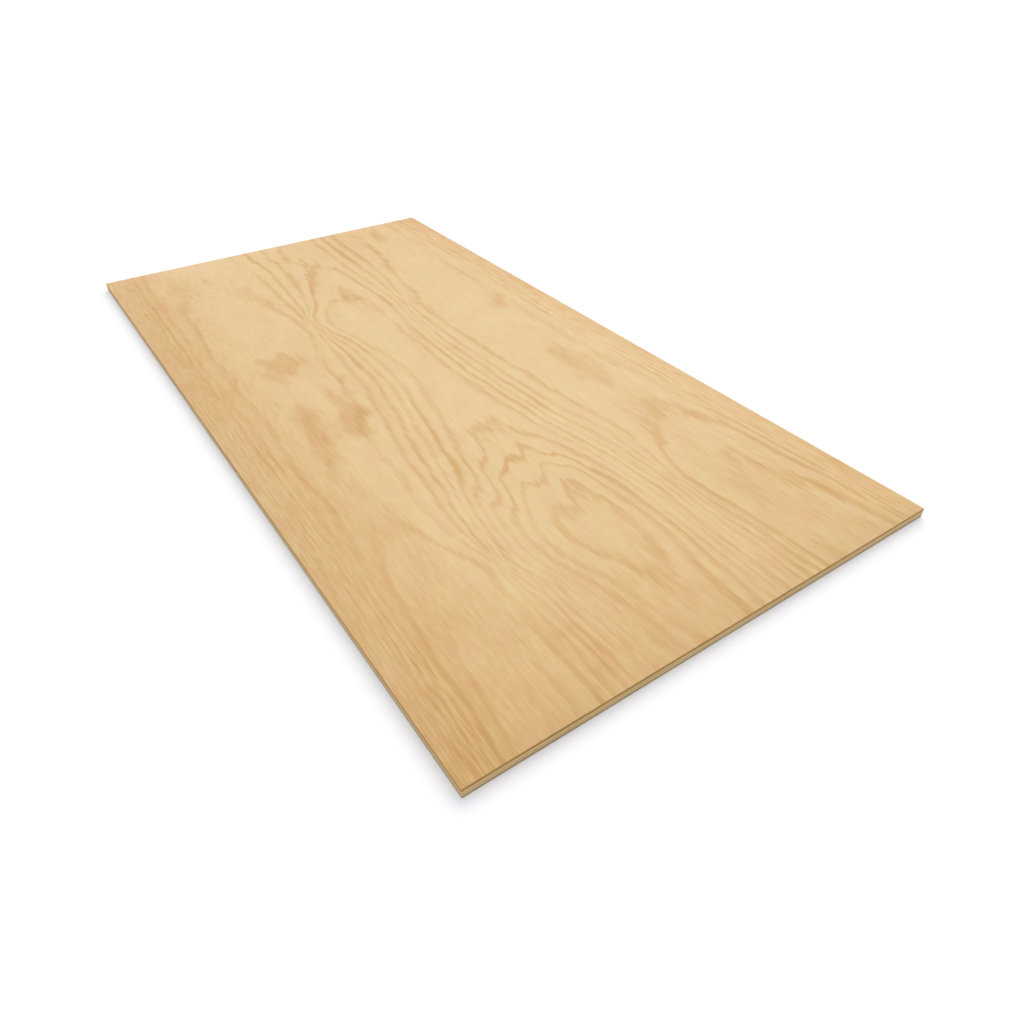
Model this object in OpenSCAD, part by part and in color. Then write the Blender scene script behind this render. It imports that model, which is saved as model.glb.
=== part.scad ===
// Plywood sheet: four rotary-cut pine veneers glued face to face and sawn square.
// The face and back run with the length, and the two core veneers run across it.
// The origin is at the middle of the back, +X runs along the grain of the face, +Z out of the face.

/* [Sheet] */
// Length of the sheet, along the grain of the face
sheet_length = 1220; // [300:5:2440]
// Width of the sheet, across the grain of the face
sheet_width = 610; // [150:5:1220]

/* [Veneers] */
// Thickness of the sanded face veneer
face_thickness = 3.1; // [1:0.05:5]
// Thickness of each of the two core veneers
core_thickness = 3.15; // [1:0.05:5]
// Thickness of the back veneer
back_thickness = 3.1; // [1:0.05:5]

/* [Edges] */
// Size of the flat sanded along the edges of the face
face_arris = 0.4; // [0.1:0.05:0.8]
// Size of the flat sanded along the edges of the back
back_arris = 0.3; // [0.1:0.05:0.8]

/* [Hidden] */
lower_core_bottom = back_thickness;
upper_core_bottom = lower_core_bottom + core_thickness;
face_bottom = upper_core_bottom + core_thickness;

// Section across an outer veneer, with its glued side at 0 and an arris on both outer edges
module outer_section(span, thickness, arris) {
    edge = span / 2;
    polygon([
        [-edge, 0],
        [edge, 0],
        [edge, thickness - arris],
        [edge - arris, thickness],
        [-edge + arris, thickness],
        [-edge, thickness - arris]
    ]);
}

// An outer veneer with its glued side down: the arris runs round all four edges of its upper side
module outer_veneer(thickness, arris) {
    intersection() {
        rotate([90, 0, 90])
            linear_extrude(height = sheet_length, center = true)
                outer_section(sheet_width, thickness, arris);
        rotate([90, 0, 0])
            linear_extrude(height = sheet_width, center = true)
                outer_section(sheet_length, thickness, arris);
    }
}

// A core veneer, glued on both sides and sawn flush with the rest
module core_veneer() {
    linear_extrude(height = core_thickness)
        square([sheet_length, sheet_width], center = true);
}

module face_veneer() {
    color("#E6C696")
        translate([0, 0, face_bottom])
            outer_veneer(face_thickness, face_arris);
}

module upper_core_veneer() {
    color("#C7AC80")
        translate([0, 0, upper_core_bottom])
            core_veneer();
}

module lower_core_veneer() {
    color("#C0A478")
        translate([0, 0, lower_core_bottom])
            core_veneer();
}

module back_veneer() {
    color("#A28F6F")
        translate([0, 0, back_thickness])
            mirror([0, 0, 1])
                outer_veneer(back_thickness, back_arris);
}

face_veneer();
upper_core_veneer();
lower_core_veneer();
back_veneer();
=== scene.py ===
import bmesh
import bpy
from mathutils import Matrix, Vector


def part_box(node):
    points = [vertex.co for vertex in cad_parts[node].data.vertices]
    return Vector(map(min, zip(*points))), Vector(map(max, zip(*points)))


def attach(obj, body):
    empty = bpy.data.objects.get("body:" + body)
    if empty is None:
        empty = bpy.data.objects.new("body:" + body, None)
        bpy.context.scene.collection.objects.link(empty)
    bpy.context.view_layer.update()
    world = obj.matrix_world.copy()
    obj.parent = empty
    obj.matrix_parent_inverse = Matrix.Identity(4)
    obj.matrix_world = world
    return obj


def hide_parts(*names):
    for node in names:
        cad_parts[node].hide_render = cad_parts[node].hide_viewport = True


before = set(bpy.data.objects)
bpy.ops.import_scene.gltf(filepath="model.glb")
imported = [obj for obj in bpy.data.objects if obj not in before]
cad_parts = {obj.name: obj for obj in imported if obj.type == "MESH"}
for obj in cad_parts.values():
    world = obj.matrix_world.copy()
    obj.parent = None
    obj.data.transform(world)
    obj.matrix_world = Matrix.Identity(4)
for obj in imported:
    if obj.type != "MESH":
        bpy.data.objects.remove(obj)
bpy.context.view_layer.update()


# Back ply: the bottom veneer of the lay-up, pine of the lower grade, peeled off a turning log as one ribbon.
# It is glued under the core with its grain along the length, sawn flush with the rest and only touch-sanded.
back_low, back_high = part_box("back_veneer")
sheet_length_mm = round(1000 * (back_high.x - back_low.x))


def clip_veneer(name, node):
    """A flat veneer at the size and place of its CAD node, with a point every 3 mm round its sawn edge."""
    low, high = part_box(node)
    length, width, thickness = high - low
    bpy.ops.object.select_all(action="DESELECT")
    bpy.ops.mesh.primitive_grid_add(x_subdivisions=20, y_subdivisions=10, size=1, calc_uvs=False)
    veneer = bpy.context.object
    veneer.name = name
    bpy.ops.object.mode_set(mode="EDIT")
    bpy.ops.mesh.select_mode(type="EDGE")
    bpy.ops.transform.resize(value=(length, width, 1))
    bpy.ops.transform.translate(value=(0, 0, low.z))
    bpy.ops.mesh.region_to_loop()
    bpy.ops.mesh.subdivide(number_cuts=19)
    bpy.ops.mesh.select_all(action="SELECT")
    bpy.ops.mesh.extrude_region_move(TRANSFORM_OT_translate={"value": (0, 0, thickness)})
    bpy.ops.mesh.select_all(action="SELECT")
    bpy.ops.mesh.normals_make_consistent(inside=False)
    bpy.ops.object.mode_set(mode="OBJECT")
    return veneer


def ease_rim(veneer, height, size, segments):
    """Rounds the edges that run round the outline at this height, as the edge sander leaves them."""
    sharp_angle = 0.7
    bpy.ops.object.mode_set(mode="EDIT")
    bpy.ops.mesh.select_all(action="DESELECT")
    for edge in bmesh.from_edit_mesh(veneer.data).edges:
        level = all(abs(end.co.z - height) < 1e-6 for end in edge.verts)
        edge.select_set(level and edge.calc_face_angle(0) > sharp_angle)
    bpy.ops.mesh.bevel(offset=size, segments=segments, profile=0.5, affect="EDGES")
    bpy.ops.object.mode_set(mode="OBJECT")


veneer_unevenness = bpy.data.textures.new("veneer_unevenness", type="CLOUDS")
veneer_unevenness.noise_scale = 0.05


def press_glue_line(veneer, height):
    """Lets a glued side rise and fall by up to a quarter of a millimetre, as peeled veneer does.
    Both sides of a joint read the same unevenness at the same height, so they stay in contact."""
    rim_depth = 0.00015
    side = [point.index for point in veneer.data.vertices if abs(point.co.z - height) < rim_depth]
    glued = veneer.vertex_groups.new(name="glued")
    glued.add(side, 1, "REPLACE")
    uneven = veneer.modifiers.new("uneven glue line", "DISPLACE")
    uneven.texture = veneer_unevenness
    uneven.texture_coords = "LOCAL"
    uneven.direction = "Z"
    uneven.strength = 0.0007
    uneven.vertex_group = glued.name
    bpy.ops.object.modifier_apply(modifier=uneven.name)
    veneer.vertex_groups.clear()


def linear(colour):
    """An sRGB hex colour as the linear values that shaders work in."""
    shares = [int(colour[i:i + 2], 16) / 255 for i in (1, 3, 5)]
    return [s / 12.92 if s <= 0.04045 else ((s + 0.055) / 1.055) ** 2.4 for s in shares] + [1]


def wire(owner, kind, inputs=(), stops=(), points=(), **settings):
    """Adds one node with its settings and links. Inputs go by place or by name, and a node stands for its
    first output. stops are a ramp's colours and points are those of a drawn curve, both from 0 to 1."""
    tree = owner.node_tree
    added = tree.nodes.new("ShaderNode" + kind)
    for setting, value in settings.items():
        setattr(added, setting, value)
    if stops:
        for place, _ in stops[1:-1]:
            added.color_ramp.elements.new(place)
        for element, (_, colour) in zip(added.color_ramp.elements, stops):
            element.color = linear(colour)
    if points:
        drawn = added.mapping.curves[0].points
        drawn[0].location, drawn[1].location = points[0], points[-1]
        for point in points[1:-1]:
            drawn.new(*point)
        for point in drawn:
            point.handle_type = "AUTO_CLAMPED"
        added.mapping.update()
    named = inputs if isinstance(inputs, dict) else dict(enumerate(inputs))
    for socket, value in named.items():
        value = value.outputs[0] if isinstance(value, bpy.types.Node) else value
        if isinstance(value, bpy.types.NodeSocket):
            tree.links.new(value, added.inputs[socket])
        else:
            added.inputs[socket].default_value = value
    return added


def streaks(material, long, wide, seed, deep=0, detail=0):
    """Unevenness about zero, in patches of this many millimetres along X, across it and down."""
    spot = wire(material, "TexCoord").outputs["Object"]
    scale = [1000 / long, 1000 / wide, 1000 / deep if deep else 0]
    patches = wire(material, "Mapping", {"Vector": spot, "Scale": scale, "Location": (0, 0, seed + 0.5)})
    patchy = wire(material, "TexNoise", {"Vector": patches, "Scale": 1, "Detail": detail})
    return wire(material, "Math", (patchy, 0.5), operation="SUBTRACT")


# One part in e: raised to the square of a distance it falls off as a bell, and to the distance as a peak.
soft_fall = 0.3679


def humps(material, spot, places, base):
    """Adds to base a soft hump at each place: its middle and reach in millimetres, and its height."""
    for (x, y), (reach, spread), height in places:
        near = wire(material, "Mapping", {"Vector": spot, "Scale": (1 / reach, 1 / spread, 0),
                                          "Location": (-x / reach, -y / spread, 0)})
        square = wire(material, "VectorMath", (near, near), operation="DOT_PRODUCT").outputs["Value"]
        hump = wire(material, "Math", (soft_fall, square), operation="POWER")
        base = wire(material, "Math", (hump, height, base), operation="MULTIPLY_ADD")
    return base


def along(material, share, points, low, high):
    """A value that changes along the sheet, drawn on a scale from low to high.
    Its points are (millimetres from the middle, value)."""
    drawn = [(x / sheet_length_mm + 0.5, (value - low) / (high - low)) for x, value in points]
    curve = wire(material, "FloatCurve", {"Value": share}, points=drawn)
    return wire(material, "Math", (curve, high - low, low), operation="MULTIPLY_ADD")


def peeled_rings(material, x, y, strips, slopes, rims, knots, seed):
    """Counts the growth rings that the peeling knife crosses, and how many it crosses in a millimetre.
    A log tapers, so the count climbs slowly along each broad strip, where a ring's edge shows as a flame.
    On the slopes between strips it climbs fast and shows as lines, which each knot draws together.
    A strip is its counts along the sheet, a slope is its middle line and its fan to either side, a rim is
    (rings, middle line, fan) and a knot is (middle, reach, pull), with places in millimetres."""
    for cell, spread, swing, strand in ((200, 90, 14, 1), (60, 30, 5, 2), (22, 14, 2, 12)):
        waver = streaks(material, cell, spread, seed + strand)
        y = wire(material, "Math", (waver, swing, y), operation="MULTIPLY_ADD")

    # A knot pulls the lines towards its middle, and within its heart, a share of its reach, no harder.
    knot_heart = 0.15
    line = y
    for (knot_x, knot_y), (reach, spread), pull in knots:
        near = wire(material, "Mapping", {"Vector": wire(material, "CombineXYZ", (x, y)),
                                          "Scale": (1 / reach, 1 / spread, 0),
                                          "Location": (-knot_x / reach, -knot_y / spread, 0)})
        distance = wire(material, "VectorMath", (near,), operation="LENGTH").outputs["Value"]
        drawn = wire(material, "Math", (soft_fall, distance), operation="POWER")
        eased = wire(material, "Math", (distance, knot_heart), operation="ADD")
        drawn = wire(material, "Math", (drawn, eased), operation="DIVIDE")
        offset = wire(material, "Math", (y, knot_y), operation="SUBTRACT")
        drawn = wire(material, "Math", (drawn, offset), operation="MULTIPLY")
        line = wire(material, "Math", (drawn, pull / 2, line), operation="MULTIPLY_ADD")

    # The strips' counts are read at a place that wanders along the sheet, which breaks a flame into lobes.
    lobe_reach = 110
    lobes = streaks(material, 120, 26, seed + 11)
    lobed = wire(material, "Math", (lobes, lobe_reach, x), operation="MULTIPLY_ADD")
    lobed = wire(material, "Math", (lobed, 1 / sheet_length_mm, 0.5), operation="MULTIPLY_ADD")
    counts = [along(material, lobed, strip, low=-4, high=14) for strip in strips]
    share = wire(material, "Math", (x, 1 / sheet_length_mm, 0.5), operation="MULTIPLY_ADD")
    climbs = list(rims)
    for i, (run, fan) in enumerate(slopes):
        rings = wire(material, "Math", (counts[i + 1], counts[i]), operation="SUBTRACT")
        run = along(material, share, run, low=-300, high=300)
        fan = along(material, share, fan, low=0, high=100)
        climbs.append((rings, run, fan))

    # Each climb is a tanh step, whose part so far gives its slope too: 2 part (1 - part) / fan.
    count, density = counts[0], 0
    for rings, run, fan in climbs:
        climb = wire(material, "Math", (run, line), operation="SUBTRACT")
        climb = wire(material, "Math", (climb, fan), operation="DIVIDE")
        climb = wire(material, "Math", (climb,), operation="TANH")
        part = wire(material, "Math", (climb, 0.5, 0.5), operation="MULTIPLY_ADD")
        count = wire(material, "Math", (part, rings, count), operation="MULTIPLY_ADD")
        rest = wire(material, "Math", (1, part), operation="SUBTRACT")
        slope = wire(material, "Math", (part, rest), operation="MULTIPLY")
        slope = wire(material, "Math", (slope, fan), operation="DIVIDE")
        slope = wire(material, "Math", (slope, rings), operation="MULTIPLY")
        slope = wire(material, "Math", (slope,), operation="ABSOLUTE")
        density = wire(material, "Math", (slope, 2, density), operation="MULTIPLY_ADD")
    for cell, spread, swing, strand in ((130, 45, 0.35, 3), (40, 22, 0.2, 4), (26, 4, 0.3, 7)):
        waver = streaks(material, cell, spread, seed + strand)
        count = wire(material, "Math", (waver, swing, count), operation="MULTIPLY_ADD")
    return count, density


def peeled_pine(name, figure, faint, ticked, stains, tan, shades, roughness, seed):
    """Peeled pine: pale earlywood with soft amber latewood lines, ragged stains, broad tan areas and fibres.
    Broad tan humps add tone; on the face two of them are painted shade, darker and warmer wood where less
    light falls.
    Lines pale at the faint places, and dashes show where lines crowd and at the ticked places.
    Fibres and dashes are drawn over 1 mm wide, coarser than real ones, so that they show."""
    earlywood_tone = 0.35
    latewood_depth = 0.46
    stain_depth = 0.32
    fibre_depth = 0.46
    dash_depth = 0.55
    hue_swing = 0.016
    material = bpy.data.materials.new(name)
    material.use_nodes = True
    spot = wire(material, "TexCoord").outputs["Object"]
    millimetres = wire(material, "Mapping", {"Vector": spot, "Scale": (1000, 1000, 1000)})
    x, y, _ = wire(material, "SeparateXYZ", (millimetres,)).outputs
    count, density = peeled_rings(material, x, y, *figure, seed)

    # A latewood line comes on faster than it fades, and its width and middle are shares of a ring.
    line_middle = 0.4
    line_wide_mm = 4.2
    line_width = wire(material, "Math", (density, line_wide_mm), operation="MULTIPLY")
    line_width = wire(material, "Clamp", {"Value": line_width, "Min": 0.14, "Max": 0.27})
    grown = wire(material, "Math", (count,), operation="FRACT")
    off_line = wire(material, "Math", (grown, line_middle), operation="SUBTRACT")
    off_line = wire(material, "Math", (off_line, line_width), operation="DIVIDE")
    off_line = wire(material, "Math", (off_line, 0.25, 0.5), operation="MULTIPLY_ADD", use_clamp=True)
    late = wire(material, "FloatCurve", {"Value": off_line},
                points=[(0, 0), (0.175, 0), (0.35, 0.75), (0.5, 1), (0.75, 0.4), (1, 0)])

    # Each ring has a strength of its own, fades in places and is weaker where the lines crowd.
    ring = wire(material, "Math", (count,), operation="FLOOR")
    vigour = wire(material, "TexWhiteNoise", {"W": ring}, noise_dimensions="1D")
    vigour = wire(material, "Math", (vigour, 0.4, 0.6), operation="MULTIPLY_ADD")
    fading = streaks(material, 140, 30, seed + 44)
    fading = wire(material, "Math", (fading, 1.2, 0.8), operation="MULTIPLY_ADD")
    fading = humps(material, millimetres, faint, fading)
    fading = wire(material, "Clamp", {"Value": fading, "Min": 0.3, "Max": 1.2})
    crowding = wire(material, "Math", (density, -5, 1.25), operation="MULTIPLY_ADD")
    crowding = wire(material, "Clamp", {"Value": crowding, "Min": 0.35, "Max": 1})
    for strength in (vigour, fading, crowding):
        late = wire(material, "Math", (late, strength), operation="MULTIPLY")
    tone = wire(material, "Math", (late, latewood_depth, earlywood_tone), operation="MULTIPLY_ADD")

    # Stains are soft humps whose outline the unevenness pulls out of shape.
    pulled = []
    for strand, swing, place in ((14, 60, x), (15, 40, y)):
        pull = streaks(material, 45, 25, seed + strand)
        pulled.append(wire(material, "Math", (pull, swing, place), operation="MULTIPLY_ADD"))
    ragged = wire(material, "Math", (streaks(material, 28, 18, seed + 17), 0.5), operation="MULTIPLY")
    stain = humps(material, wire(material, "CombineXYZ", pulled), stains, ragged)
    stain = wire(material, "MapRange", (stain, 0.25, 0.87, 0, stain_depth), interpolation_type="SMOOTHSTEP")
    tone = wire(material, "Math", (tone, stain), operation="ADD")
    # Broad tan humps. On the face, the two along the side at negative Y and the end at positive X are
    # painted shade: they darken and warm the wood where less light falls.
    tone = humps(material, millimetres, tan, tone)

    # Fibres run all over. Dashes, as resin ducts leave them, show where the knife crosses rings fast.
    fibres = streaks(material, 28, 2.2, seed + 5, detail=3)
    tone = wire(material, "Math", (fibres, fibre_depth, tone), operation="MULTIPLY_ADD")
    dashed = wire(material, "Math", (density, 11, -0.35), operation="MULTIPLY_ADD", use_clamp=True)
    dashed = wire(material, "Math", (dashed, fading), operation="MULTIPLY")
    dashed = humps(material, millimetres, ticked, dashed)
    dashes = wire(material, "Math", (streaks(material, 26, 1.5, seed + 8), dashed), operation="MULTIPLY")
    tone = wire(material, "Math", (dashes, dash_depth, tone), operation="MULTIPLY_ADD")

    # The tone drifts in patches of three sizes, and the hue turns a little between amber and straw.
    for cell, spread, swing, strand in ((300, 120, 0.25, 6), (60, 25, 0.16, 16), (14, 6, 0.16, 18)):
        drift = streaks(material, cell, spread, seed + strand)
        tone = wire(material, "Math", (drift, swing, tone), operation="MULTIPLY_ADD")
    wood = wire(material, "ValToRGB", (tone,), stops=shades)
    hue = streaks(material, 40, 16, seed + 19)
    hue = wire(material, "Math", (hue, hue_swing, 0.5), operation="MULTIPLY_ADD")
    wood = wire(material, "HueSaturation", {"Hue": hue, "Color": wood})
    grain = wire(material, "Bump", {"Height": fibres, "Strength": 0.5, "Distance": 0.0001})
    shader = material.node_tree.nodes["Principled BSDF"]
    material.node_tree.links.new(wood.outputs["Color"], shader.inputs["Base Color"])
    material.node_tree.links.new(grain.outputs["Normal"], shader.inputs["Normal"])
    shader.inputs["Roughness"].default_value = roughness
    shader.inputs["Specular IOR Level"].default_value = 0.3
    return material


fibre_long_mm = 60
fibre_wide_mm = 0.7
lengthwise = fibre_long_mm, fibre_wide_mm
crosswise = fibre_wide_mm, fibre_long_mm


def sawn_pine(name, grain, pale, dark, glue_lines):
    """Sawn pine edge: the fibres show as streaks where the saw ran with them and as specks where it cut
    across. A dark film of glue, drawn 0.4 mm thick so that it shows, follows each glued side."""
    glue_colour = linear("#9C794A")
    glue_film = 0.0004
    middle_tone = 0.5
    fibre_depth = 0.9
    layer_depth = 0.6
    patch_depth = 0.5
    material = bpy.data.materials.new(name)
    material.use_nodes = True
    fibres = streaks(material, *grain, 21, deep=fibre_wide_mm, detail=2)
    tone = wire(material, "Math", (fibres, fibre_depth, middle_tone), operation="MULTIPLY_ADD")
    layers = streaks(material, 160, 160, 22, deep=1.2)
    tone = wire(material, "Math", (layers, layer_depth, tone), operation="MULTIPLY_ADD")
    patches = streaks(material, 70, 70, 23, detail=1)
    tone = wire(material, "Math", (patches, patch_depth, tone), operation="MULTIPLY_ADD")
    wood = wire(material, "ValToRGB", (tone,), stops=[(0, pale), (1, dark)])
    height = wire(material, "Attribute", attribute_name="laid_height").outputs["Fac"]
    film = 0
    for glue_line in glue_lines:
        within = wire(material, "Math", (height, glue_line, glue_film / 2), operation="COMPARE")
        film = wire(material, "Math", (within, film), operation="MAXIMUM")
    # A colour mix has its share in socket 0, its colours in 6 and 7, and its result in output 2.
    glued = wire(material, "Mix", {0: film, 6: wood, 7: glue_colour}, data_type="RGBA")
    cut = wire(material, "Bump", {"Height": fibres, "Strength": 0.6, "Distance": 0.0002})
    shader = material.node_tree.nodes["Principled BSDF"]
    material.node_tree.links.new(glued.outputs[2], shader.inputs["Base Color"])
    material.node_tree.links.new(cut.outputs["Normal"], shader.inputs["Normal"])
    shader.inputs["Roughness"].default_value = 0.75
    shader.inputs["Specular IOR Level"].default_value = 0.3
    return material


# A face counts as part of a flat side where its normal's share along Z is above this.
flat_share = 0.6


def finish_veneer(veneer, flat, ends, sides, glue_lines):
    """Gives the flat sides, the ends across the length and the long sides each their own finish.
    The points of a glued side keep the height they had before the press, which the film of glue reads."""
    glued_reach = 0.0006
    laid = veneer.data.attributes.new("laid_height", "FLOAT", "POINT")
    for point, height in zip(veneer.data.vertices, laid.data):
        glued = [line for line in glue_lines if abs(point.co.z - line) < glued_reach]
        height.value = glued[0] if glued else point.co.z
    for material in (flat, ends, sides):
        veneer.data.materials.append(material)
    for face in veneer.data.polygons:
        x, y, z = (abs(share) for share in face.normal)
        face.material_index = 0 if z > flat_share else 1 if x > y else 2
    bpy.ops.object.select_all(action="DESELECT")
    veneer.select_set(True)
    bpy.context.view_layer.objects.active = veneer
    bpy.ops.object.shade_smooth_by_angle(angle=0.5)
    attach(veneer, "root")


def lay_out(veneer, node, shown):
    """Lays the surface out flat in a square, for baking its colours into a picture.
    The side that shows (1 up, -1 down) fills the upper two thirds, and the hidden side is a strip under it.
    The sawn edges lie at the bottom in twelve rows, each half the sheet's width long. They are four times
    as large along and over five times across, so that the picture can hold the film of glue."""
    shown_from, shown_high = 0.34, 0.66
    hidden_from, hidden_high = 0.305, 0.025
    row_high = 1 / 40
    row_margin = 0.125
    low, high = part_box(node)
    length, width, thickness = high - low
    cut = width / 2
    laid = veneer.data.attributes["laid_height"].data
    chart = veneer.data.uv_layers.new(name="OFBake")

    # Rows 0 to 7 are the two long sides, four lengths each, and rows 8 to 11 the two ends, two each.
    for face in veneer.data.polygons:
        x, y, z = face.normal
        axis = 1 if abs(x) > abs(y) else 0
        start = (face.center - low)[axis] // cut
        row = start + (8 + 2 * (x > 0) if axis else 4 * (y > 0))
        for corner in face.loop_indices:
            point = veneer.data.loops[corner].vertex_index
            spot = veneer.data.vertices[point].co - low
            if abs(z) > flat_share:
                bottom, share = (shown_from, shown_high) if z * shown > 0 else (hidden_from, hidden_high)
                place = spot.x / length, bottom + share * spot.y / width
            else:
                rise = (laid[point].value - low.z) / thickness
                place = spot[axis] / cut - start, (row + row_margin + (1 - 2 * row_margin) * rise) * row_high
            chart.data[corner].uv = place


back = clip_veneer("back_ply", "back_veneer")
ease_rim(back, back_low.z, size=0.0003, segments=3)
press_glue_line(back, back_high.z)
back_strips = [
    [(-610, 0), (-340, -0.6), (40, -1), (300, -1.6), (610, -2)],
    [(-610, 4), (-300, 5.2), (-60, 6), (250, 6.8), (610, 8)],
    [(-610, 0.8), (-380, 0), (-40, -0.6), (380, -1), (610, -1.6)],
]
back_slopes = [
    ([(-610, 120), (-180, 96), (200, 110), (610, 84)],
     [(-610, 56), (-300, 44), (-190, 22), (-80, 44), (610, 56)]),
    ([(-610, -60), (-100, -96), (330, -70), (610, -84)],
     [(-610, 52), (200, 46), (330, 20), (450, 44), (610, 54)]),
]
back_rims = [(-18, 306, 44), (18, -312, 42)]
back_knots = [((-190, 104), (62, 34), 0.9), ((330, -72), (70, 38), 0.9)]
back_figure = back_strips, back_slopes, back_rims, back_knots
back_faint = [((0, 200), (400, 60), -0.3), ((-100, -200), (300, 60), -0.3)]
back_stains = [((-420, 150), (70, 40), 1), ((100, -210), (90, 30), 0.8), ((480, 10), (60, 30), 0.8)]
back_tan = [((-610, 0), (300, 400), 0.15)]
back_shades = [(0, "#D0BD99"), (0.15, "#C9B48F"), (0.45, "#BBA37B"), (0.75, "#A68A60"), (1, "#947950")]
touch_sanded = peeled_pine("pine_touch_sanded", back_figure, back_faint, ticked=[], stains=back_stains,
                           tan=back_tan, shades=back_shades, roughness=0.75, seed=30)
back_glue = [back_high.z]
back_ends = sawn_pine("pine_end_grain_back", lengthwise, "#CCB28A", "#AF956C", back_glue)
back_sides = sawn_pine("pine_long_grain_back", lengthwise, "#D0B894", "#B49D76", back_glue)
finish_veneer(back, touch_sanded, back_ends, back_sides, back_glue)
lay_out(back, "back_veneer", shown=-1)
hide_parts("back_veneer")


# Core plies: two pine veneers laid side on side with their grain across the sheet, which stiffens its width.
# Glue holds them to each other and to the face and back, and the saw leaves their edges flush with the rest.
for name, node in (("lower_core_ply", "lower_core_veneer"), ("upper_core_ply", "upper_core_veneer")):
    core_low, core_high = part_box(node)
    core_glue = [core_low.z, core_high.z]
    core = clip_veneer(name, node)
    for glued_side in core_glue:
        ease_rim(core, glued_side, size=0.0001, segments=1)
        press_glue_line(core, glued_side)
    core_flat = sawn_pine("pine_glued_" + name, crosswise, "#D9C296", "#B4976A", [])
    core_ends = sawn_pine("pine_long_grain_" + name, crosswise, "#F0D096", "#D6B072", core_glue)
    core_sides = sawn_pine("pine_end_grain_" + name, crosswise, "#F2D29C", "#D6AF72", core_glue)
    finish_veneer(core, core_flat, core_ends, core_sides, core_glue)
    lay_out(core, node, shown=1)
    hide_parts(node)


# Face ply: the show side, clear pine peeled off the log, so its rings open into wide flames and islands.
# It is glued on last with its grain along the length, sawn with the rest and sanded smooth.
face_low, face_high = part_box("face_veneer")
face = clip_veneer("face_ply", "face_veneer")
ease_rim(face, face_high.z, size=0.0004, segments=3)
press_glue_line(face, face_low.z)
face_strips = [
    [(-610, -0.25), (-200, -0.15), (150, -0.35), (265, -0.75), (418, -1.8), (610, -2.7)],
    [(-610, 4.6), (-460, 4.8), (-380, 5.25), (-310, 5.65), (-230, 5.9), (-80, 6.55), (80, 6.65),
     (182, 6.85), (255, 7.85), (300, 8.85), (352, 9.75), (430, 10.1), (530, 10.35), (610, 10.6)],
    [(-610, 0.65), (-495, 0.35), (-300, -0.15), (200, -0.55), (280, -1), (460, -2.1), (610, -3.35)],
]
face_slopes = [
    ([(-610, 103), (-460, 101), (-310, 86), (-237, 80), (-110, 66), (0, 63), (190, 78), (290, 82),
      (490, 82), (610, 84)],
     [(-610, 50), (-460, 48), (-310, 36), (-237, 32), (-110, 38), (0, 42), (190, 44), (290, 48),
      (410, 46), (490, 54), (610, 68)]),
    ([(-610, -46), (-460, -50), (-310, -58), (-240, -70), (-110, -62), (0, -66), (190, -100),
      (290, -110), (407, -116), (490, -110), (610, -110)],
     [(-610, 54), (-460, 48), (-310, 34), (-240, 24), (-110, 44), (0, 48), (190, 56), (290, 54),
      (407, 46), (490, 56), (610, 74)]),
]
face_rims = [(-20, 312, 42), (20, -306, 40)]
face_knots = [((-237, 95), (45, 20), 1), ((-238, -70), (70, 34), 1), ((410, 116), (48, 22), 1.6),
              ((407, -140), (60, 26), 2)]
face_figure = face_strips, face_slopes, face_rims, face_knots
face_faint = [((400, -205), (190, 50), -0.5), ((-420, -150), (170, 55), -0.5),
              ((560, -95), (130, 60), -0.45), ((560, 85), (110, 70), -0.3), ((520, 190), (130, 40), -0.25),
              ((535, -12), (60, 24), -0.5), ((-380, -285), (320, 30), -0.35),
              ((-240, -240), (400, 26), -0.5), ((-180, 238), (300, 24), -0.4),
              ((430, -10), (60, 34), -0.25), ((260, 200), (60, 50), -0.3), ((300, -215), (70, 45), -0.3),
              ((380, -250), (160, 30), -0.3)]
face_ticked = [((420, 230), (260, 34), 0.9), ((-250, 250), (380, 40), 0.4)]
face_stains = [((-134, -159), (52, 40), 1), ((-105, -150), (20, 10), -0.5), ((20, -135), (80, 22), 0.75),
               ((75, -155), (40, 26), 0.7), ((10, -190), (60, 16), 0.7), ((110, -205), (70, 16), 0.7),
               ((-145, 213), (45, 24), 0.7), ((110, 198), (95, 26), 0.8), ((-560, 195), (90, 20), 0.6),
               ((-575, 5), (110, 16), 0.65), ((-420, -25), (60, 14), 0.6), ((205, -15), (36, 22), 0.6),
               ((-300, 25), (24, 16), 0.7)]
# Tan humps. The broad ones along the side at negative Y and at the end at positive X are painted shade:
# darker, warmer wood on the sides that face away from the lamp, standing in for less light. The others are
# tan areas of the wood.
face_tan_and_painted_shade = [((-250, -278), (1050, 70), 0.33), ((110, -285), (130, 40), -0.08),
            ((0, 312), (1500, 30), 0.22), ((690, -120), (210, 420), 0.3), ((-650, 330), (260, 220), 0.24)]
face_shades = [(0, "#F5DAA9"), (0.15, "#F0D29F"), (0.45, "#E9C691"), (0.75, "#DEB378"), (1, "#D1A263")]
sanded = peeled_pine("pine_sanded", face_figure, face_faint, ticked=face_ticked, stains=face_stains,
                     tan=face_tan_and_painted_shade, shades=face_shades, roughness=0.65, seed=0)
face_glue = [face_low.z]
face_ends = sawn_pine("pine_end_grain_face", lengthwise, "#C79A58", "#A0743A", face_glue)
face_sides = sawn_pine("pine_long_grain_face", lengthwise, "#C79C5A", "#A47A3E", face_glue)
finish_veneer(face, sanded, face_ends, face_sides, face_glue)
lay_out(face, "face_veneer", shown=1)
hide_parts("face_veneer")


# Floor: a smooth white studio board, which the sheet lies on and darkens along its edges.
# A glow for the eye alone takes the open floor to white and leaves the shadow to see.
def in_sight(owner):
    """One for a ray that comes from the eye, off a gloss or through glass, and zero for all others."""
    ray = wire(owner, "LightPath").outputs
    mirrored = wire(owner, "Math", (ray["Is Camera Ray"], ray["Is Glossy Ray"]), operation="MAXIMUM")
    return wire(owner, "Math", (mirrored, ray["Is Transmission Ray"]), operation="MAXIMUM")


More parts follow.
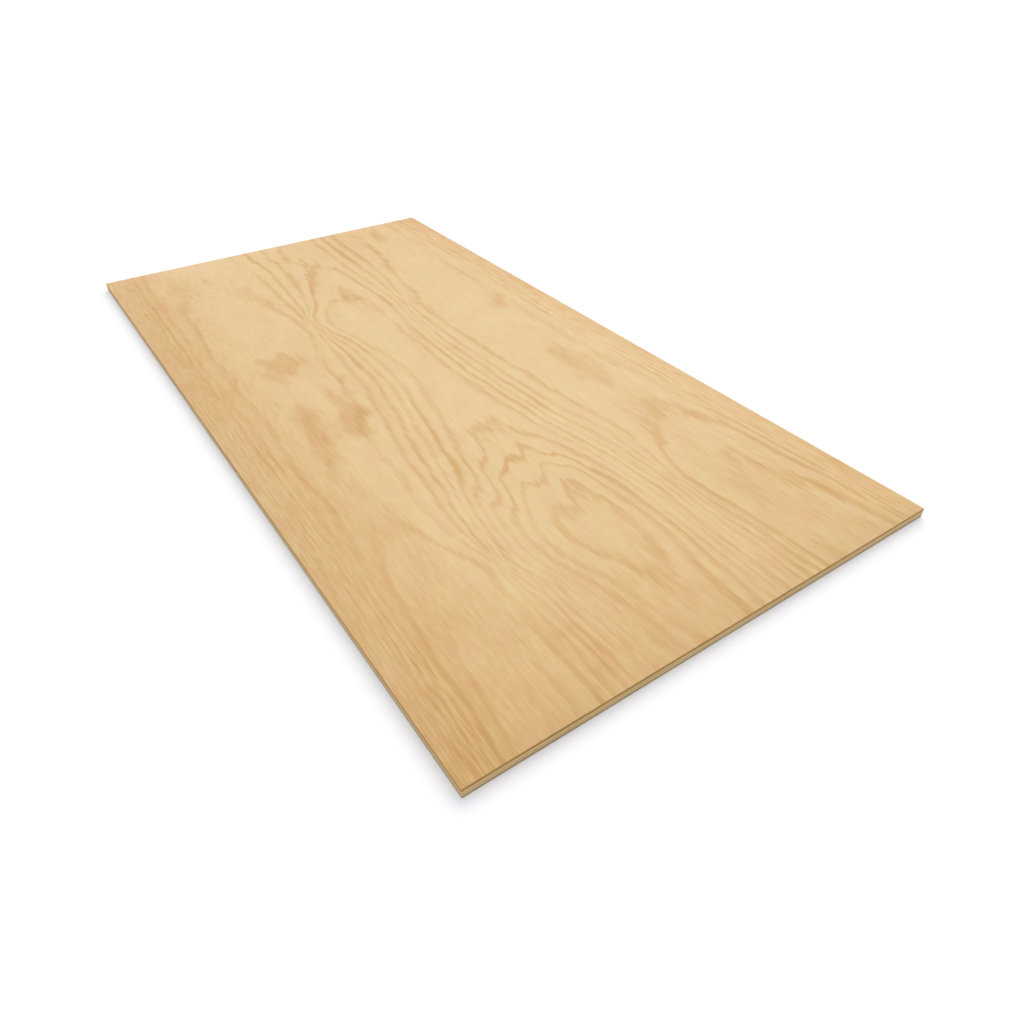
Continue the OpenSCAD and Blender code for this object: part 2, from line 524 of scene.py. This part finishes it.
floor_gap = 0.0002
glow_strength = 0.22
bpy.ops.object.select_all(action="DESELECT")
bpy.ops.mesh.primitive_plane_add(size=30, location=(0, 0, -floor_gap))
floor = bpy.context.object
floor.name = "studio_floor"
white_board = bpy.data.materials.new("white_board_matt")
white_board.use_nodes = True
glow = wire(white_board, "Math", (in_sight(white_board), glow_strength), operation="MULTIPLY")
board = white_board.node_tree.nodes["Principled BSDF"]
board.inputs["Base Color"].default_value = linear("#F2F2F2")
board.inputs["Roughness"].default_value = 0.9
board.inputs["Specular IOR Level"].default_value = 0.1
board.inputs["Emission Color"].default_value = (1, 1, 1, 1)
white_board.node_tree.links.new(glow.outputs[0], board.inputs["Emission Strength"])
floor.data.materials.append(white_board)


# Light: an even, faintly blue white room, and one wide warm lamp from high behind the far corner.
# Together they are white, and where the sheet hides the lamp the floor keeps a soft bluish shadow.
room = bpy.data.worlds.new("white_room")
bpy.context.scene.world = room
room.use_nodes = True
even = room.node_tree.nodes["Background"]
even.inputs["Color"].default_value = linear("#ECF3FF")
even.inputs["Strength"].default_value = 0.74
backdrop = wire(room, "Background", {"Color": (1, 1, 1, 1), "Strength": 1})
either = wire(room, "MixShader", (in_sight(room), even, backdrop))
room.node_tree.links.new(either.outputs[0], room.node_tree.nodes["World Output"].inputs["Surface"])

bpy.ops.object.light_add(type="SUN", location=(-0.8, 0.8, 1))
lamp = bpy.context.object
lamp.name = "wide_lamp"
lamp.data.angle = 0.95
lamp.data.energy = 1.45
lamp.data.color = linear("#FFF1DD")[:3]
lamp.rotation_euler = (-lamp.location).to_track_quat("-Z", "Y").to_euler()


# Camera: a wide view from above the near corner, with the sheet running away to the far left.
# Its middle lies 28 pixels right of the picture's, which the small shift gives.
picture_pixels = 1024
shift_pixels = 28
looks_along = Vector((-0.63589, 0.45246, -0.62524))
bpy.ops.object.camera_add(location=(0.9237, -0.4524, 0.5636))
camera = bpy.context.object
camera.name = "camera"
camera.rotation_euler = looks_along.to_track_quat("-Z", "Y").to_euler()
camera.data.sensor_width = 36
camera.data.lens = 27.52
camera.data.shift_x = -shift_pixels / picture_pixels
camera.data.clip_start = 0.01
bpy.context.scene.camera = camera
bpy.context.scene.view_settings.view_transform = "Standard"
